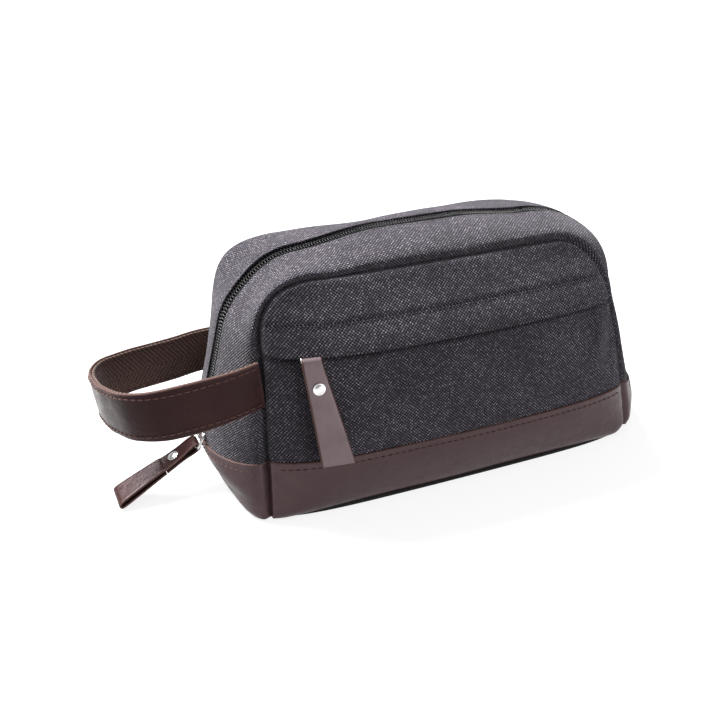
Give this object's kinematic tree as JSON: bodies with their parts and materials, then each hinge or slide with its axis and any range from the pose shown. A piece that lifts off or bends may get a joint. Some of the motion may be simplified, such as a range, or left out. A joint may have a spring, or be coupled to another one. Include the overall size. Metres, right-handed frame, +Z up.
{
  "type": "shaving kit bag",
  "caption": "Canvas and leather shaving kit bag with a zip over its top, a zipped front pocket and a wrist strap loop at one end.",
  "frame": {"origin": "centre of the bag's underside, on the surface it stands on", "axes": "+X along the bag away from the strap, -Y the pocket side, +Z up"},
  "size_m": [0.315, 0.1293, 0.1337],
  "materials": {
    "canvas": "washed charcoal canvas, coarse weave",
    "leather": "smooth dark brown leather, soft sheen",
    "base": "black base cloth",
    "board": "grey fibre board",
    "lining": "dark woven lining",
    "webbing": "ribbed brown cotton webbing",
    "zip": "black nylon coil on black tape",
    "metal": "polished nickel"
  },
  "bodies": {
    "bag": {"front_lower_panel": "canvas", "front_upper_panel": "canvas", "pocket_placket": "canvas", "rear_panel": "canvas", "left_gusset_front": "canvas", "left_gusset_rear": "canvas", "right_gusset_front": "canvas", "right_gusset_rear": "canvas", "front_leather_trim": "leather", "rear_leather_trim": "leather", "left_end_leather": "leather", "right_end_leather": "leather", "lining_bag": "lining", "pocket_bag": "lining", "left_zip_front": "zip", "left_zip_rear": "zip", "right_zip_front": "zip", "right_zip_rear": "zip", "pocket_zip_upper": "zip", "pocket_zip_lower": "zip", "main_zip_stop": "metal", "pocket_zip_stop_left": "metal", "pocket_zip_stop_right": "metal", "base_panel": "base", "base_board": "board"},
    "front_flap": {"top_flap_front": "canvas", "flap_lining_front": "lining", "top_zip_front": "zip"},
    "rear_flap": {"top_flap_rear": "canvas", "flap_lining_rear": "lining", "top_zip_rear": "zip"},
    "main_slider": {"main_slider": "metal"},
    "main_ring": {"main_pull_ring": "metal"},
    "main_pull": {"main_pull_tab": "leather", "main_pull_rivet": "metal"},
    "pocket_slider": {"pocket_slider": "metal", "pocket_pull_ring": "metal"},
    "pocket_pull": {"pocket_pull_tab": "leather", "pocket_pull_rivet": "metal"},
    "strap": {"strap_leather": "leather", "strap_webbing": "webbing"}
  },
  "joints": [
    {"name": "front_flap_open", "type": "hinge", "parent": "bag", "child": "front_flap", "pos_m": [0, -0.0285, 0.1255], "axis": [1, 0, 0], "range_deg": [0, 95]},
    {"name": "rear_flap_open", "type": "hinge", "parent": "bag", "child": "rear_flap", "pos_m": [0, 0.0285, 0.1255], "axis": [-1, 0, 0], "range_deg": [0, 95]},
    {"name": "main_zip_slide", "type": "slide", "parent": "bag", "child": "main_slider", "axis": [0.1955, 0, 0.9807], "range_m": [0, 0.05]},
    {"name": "main_ring_swing", "type": "hinge", "parent": "main_slider", "child": "main_ring", "pos_m": [-0.13216, 0, 0.03071], "axis": [0, 1, 0], "range_deg": [0, 20]},
    {"name": "main_pull_swing", "type": "hinge", "parent": "main_ring", "child": "main_pull", "pos_m": [-0.13663, 0, 0.02337], "axis": [0, 1, 0], "range_deg": [0, 20]},
    {"name": "pocket_zip_slide", "type": "hinge", "parent": "bag", "child": "pocket_slider", "pos_m": [0, 0.58674, 0.09327], "axis": [0, 0, 1], "range_deg": [0, 13.8]},
    {"name": "pocket_pull_swing", "type": "hinge", "parent": "pocket_slider", "child": "pocket_pull", "pos_m": [-0.08511, -0.05615, 0.08715], "axis": [-0.9913, 0.1313, 0], "range_deg": [0, 80]},
    {"name": "strap_swing", "type": "hinge", "parent": "bag", "child": "strap", "pos_m": [-0.124, 0, 0.0648], "axis": [0, 0.9786, -0.206], "range_deg": [-20, 40]}
  ]
}
